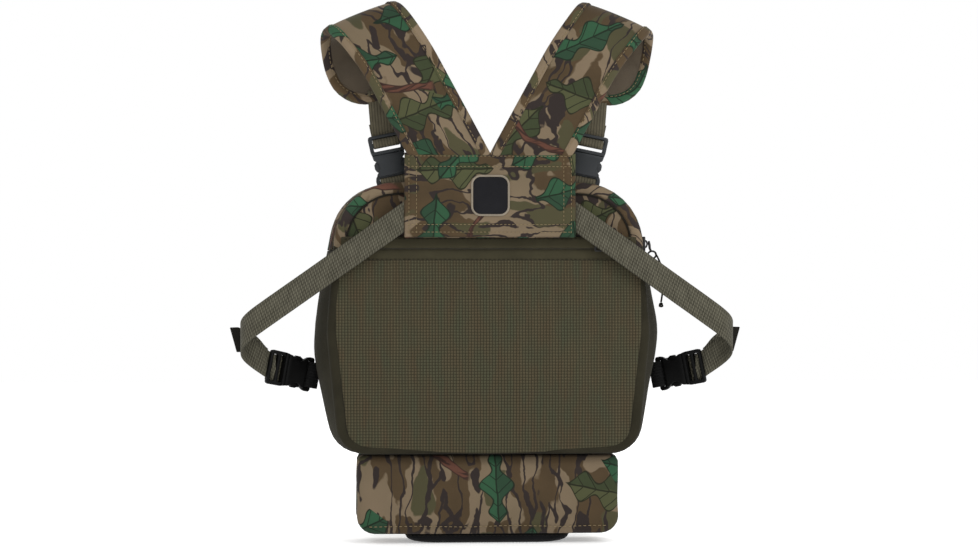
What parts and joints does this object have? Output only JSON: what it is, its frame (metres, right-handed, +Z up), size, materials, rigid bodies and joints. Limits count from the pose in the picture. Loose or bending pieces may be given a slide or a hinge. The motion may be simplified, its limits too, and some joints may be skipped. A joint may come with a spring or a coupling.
{
  "type": "binocular harness pack",
  "caption": "Chest pack with a zipped front-hinged lid, back and front zip pockets, a lower pouch, and a yoke harness with padded straps and side-release buckles.",
  "frame": {"origin": "middle of the whole pack's footprint, on the surface that the lower pouch's base stands on", "axes": "+X from the left side strap to the right one, +Y away from the wearer to the front pocket, +Z up the harness"},
  "size_m": [0.4196, 0.1424, 0.4351],
  "materials": {
    "camo": "matte printed woodland camouflage polyester",
    "olive_fabric": "matte olive brushed polyester",
    "mesh_fabric": "matte olive-brown spacer mesh",
    "lining": "soft matte brown lining",
    "zip_tape": "matte woven tape",
    "webbing": "ribbed polyester webbing",
    "dark_webbing": "ribbed dark webbing",
    "buckle_plastic": "satin moulded acetal",
    "zip_metal": "black enamel",
    "cord": "braided black cord",
    "base_fabric": "black coated fabric",
    "patch": "plain embroidered patch"
  },
  "bodies": {
    "pack": {"back_panel": "olive_fabric", "back_mesh_panel": "mesh_fabric", "back_zip_band": "olive_fabric", "back_edge_band": "camo", "main_shell": "olive_fabric", "shell_lining": "lining", "side_wings": "lining", "floor_pad": "lining", "pack_zip_tape": "zip_tape", "lid_hinge_roll": "zip_tape", "front_pocket": "camo", "front_zip_band": "zip_tape", "pouch_shell": "camo", "pouch_base": "base_fabric", "pouch_hinge_roll": "zip_tape", "side_anchor_left": "dark_webbing", "side_anchor_right": "dark_webbing", "side_socket_left": "buckle_plastic", "side_socket_right": "buckle_plastic", "side_latch_left": "buckle_plastic", "side_latch_right": "buckle_plastic", "side_strap_left": "webbing", "side_strap_right": "webbing", "strap_tail_left": "dark_webbing", "strap_tail_right": "dark_webbing"},
    "lid": {"lid_shell": "camo", "lid_lining": "lining", "lid_zip_tape": "zip_tape"},
    "flap": {"pouch_flap": "camo"},
    "harness": {"top_anchor_left": "dark_webbing", "top_anchor_right": "dark_webbing", "top_socket_left": "buckle_plastic", "top_socket_right": "buckle_plastic", "top_latch_left": "buckle_plastic", "top_latch_right": "buckle_plastic", "top_webbing_left": "webbing", "top_webbing_right": "webbing", "shoulder_pad_left": "camo", "shoulder_pad_right": "camo", "pad_lining_left": "lining", "pad_lining_right": "lining", "yoke_panel": "camo", "yoke_lining": "lining", "yoke_patch": "patch"},
    "back_slider": {"back_zip_slider": "zip_metal"},
    "back_pull": {"back_zip_pull": "zip_metal"},
    "front_slider": {"front_zip_slider": "zip_metal"},
    "front_pull": {"front_zip_pull": "zip_metal"},
    "main_slider": {"main_zip_slider": "zip_metal"},
    "main_ring": {"main_zip_ring": "zip_metal", "zip_cord": "cord", "zip_cord_knot": "cord"},
    "top_prong_left_inner": {"top_prong_left_inner": "buckle_plastic"},
    "top_prong_left_outer": {"top_prong_left_outer": "buckle_plastic"},
    "top_prong_right_inner": {"top_prong_right_inner": "buckle_plastic"},
    "top_prong_right_outer": {"top_prong_right_outer": "buckle_plastic"},
    "side_prong_left_upper": {"side_prong_left_upper": "buckle_plastic"},
    "side_prong_left_lower": {"side_prong_left_lower": "buckle_plastic"},
    "side_prong_right_upper": {"side_prong_right_upper": "buckle_plastic"},
    "side_prong_right_lower": {"side_prong_right_lower": "buckle_plastic"}
  },
  "joints": [
    {"name": "lid_hinge", "type": "hinge", "parent": "pack", "child": "lid", "pos_m": [0, 0.04958, 0.236], "axis": [-1, 0, 0], "range_deg": [0, 100]},
    {"name": "flap_hinge", "type": "hinge", "parent": "pack", "child": "flap", "pos_m": [0, 0.01957, 0.069], "axis": [1, 0, 0], "range_deg": [0, 75]},
    {"name": "harness_tilt", "type": "hinge", "parent": "pack", "child": "harness", "pos_m": [0, -0.04303, 0.286], "axis": [1, 0, 0], "range_deg": [-25, 0], "deforming": ["side_strap_left", "side_strap_right"]},
    {"name": "back_zip_travel", "type": "slide", "parent": "pack", "child": "back_slider", "axis": [-1, 0, 0], "range_m": [0, 0.19]},
    {"name": "back_pull_swing", "type": "hinge", "parent": "back_slider", "child": "back_pull", "pos_m": [0.103, -0.05813, 0.237], "axis": [0, 0, 1], "range_deg": [0, 12]},
    {"name": "front_zip_travel", "type": "slide", "parent": "pack", "child": "front_slider", "axis": [-1, 0, 0], "range_m": [0, 0.14]},
    {"name": "front_pull_swing", "type": "hinge", "parent": "front_slider", "child": "front_pull", "pos_m": [0.078, 0.07062, 0.2095], "axis": [0, 0, -1], "range_deg": [0, 60]},
    {"name": "main_zip_travel", "type": "hinge", "parent": "pack", "child": "main_slider", "pos_m": [0.0738, -0.04163, 0.24], "axis": [0, -1, 0], "range_deg": [0, 45]},
    {"name": "main_ring_swing", "type": "hinge", "parent": "main_slider", "child": "main_ring", "pos_m": [0.1307, -0.04163, 0.242], "axis": [0, -1, 0], "range_deg": [0, 60]},
    {"name": "top_prong_left_outer_squeeze", "type": "hinge", "parent": "harness", "child": "top_prong_left_outer", "pos_m": [-0.08724, -0.04303, 0.30966], "axis": [0, -1, 0], "range_deg": [0, 7], "stiffness_Nm_per_rad": 0.02},
    {"name": "top_prong_left_inner_squeeze", "type": "hinge", "parent": "harness", "child": "top_prong_left_inner", "pos_m": [-0.07254, -0.04303, 0.31265], "axis": [0, 1, 0], "range_deg": [0, 7], "stiffness_Nm_per_rad": 0.02},
    {"name": "top_prong_right_outer_squeeze", "type": "hinge", "parent": "harness", "child": "top_prong_right_outer", "pos_m": [0.08724, -0.04303, 0.30966], "axis": [0, 1, 0], "range_deg": [0, 7], "stiffness_Nm_per_rad": 0.02},
    {"name": "top_prong_right_inner_squeeze", "type": "hinge", "parent": "harness", "child": "top_prong_right_inner", "pos_m": [0.07254, -0.04303, 0.31265], "axis": [0, -1, 0], "range_deg": [0, 7], "stiffness_Nm_per_rad": 0.02},
    {"name": "side_prong_left_lower_squeeze", "type": "hinge", "parent": "pack", "child": "side_prong_left_lower", "pos_m": [-0.16256, -0.01595, 0.13154], "axis": [0.4695, -0.8829, 0], "range_deg": [0, 7], "stiffness_Nm_per_rad": 0.02},
    {"name": "side_prong_left_upper_squeeze", "type": "hinge", "parent": "pack", "child": "side_prong_left_upper", "pos_m": [-0.15992, -0.01454, 0.14624], "axis": [-0.4695, 0.8829, 0], "range_deg": [0, 7], "stiffness_Nm_per_rad": 0.02},
    {"name": "side_prong_right_lower_squeeze", "type": "hinge", "parent": "pack", "child": "side_prong_right_lower", "pos_m": [0.16256, -0.01595, 0.13154], "axis": [0.4695, 0.8829, 0], "range_deg": [0, 7], "stiffness_Nm_per_rad": 0.02},
    {"name": "side_prong_right_upper_squeeze", "type": "hinge", "parent": "pack", "child": "side_prong_right_upper", "pos_m": [0.15992, -0.01454, 0.14624], "axis": [-0.4695, -0.8829, 0], "range_deg": [0, 7], "stiffness_Nm_per_rad": 0.02}
  ],
  "couplings": [
    {"joint": "top_prong_left_inner_squeeze", "follows": "top_prong_left_outer_squeeze", "ratio": 1},
    {"joint": "top_prong_right_inner_squeeze", "follows": "top_prong_right_outer_squeeze", "ratio": 1},
    {"joint": "side_prong_left_upper_squeeze", "follows": "side_prong_left_lower_squeeze", "ratio": 1},
    {"joint": "side_prong_right_upper_squeeze", "follows": "side_prong_right_lower_squeeze", "ratio": 1}
  ]
}
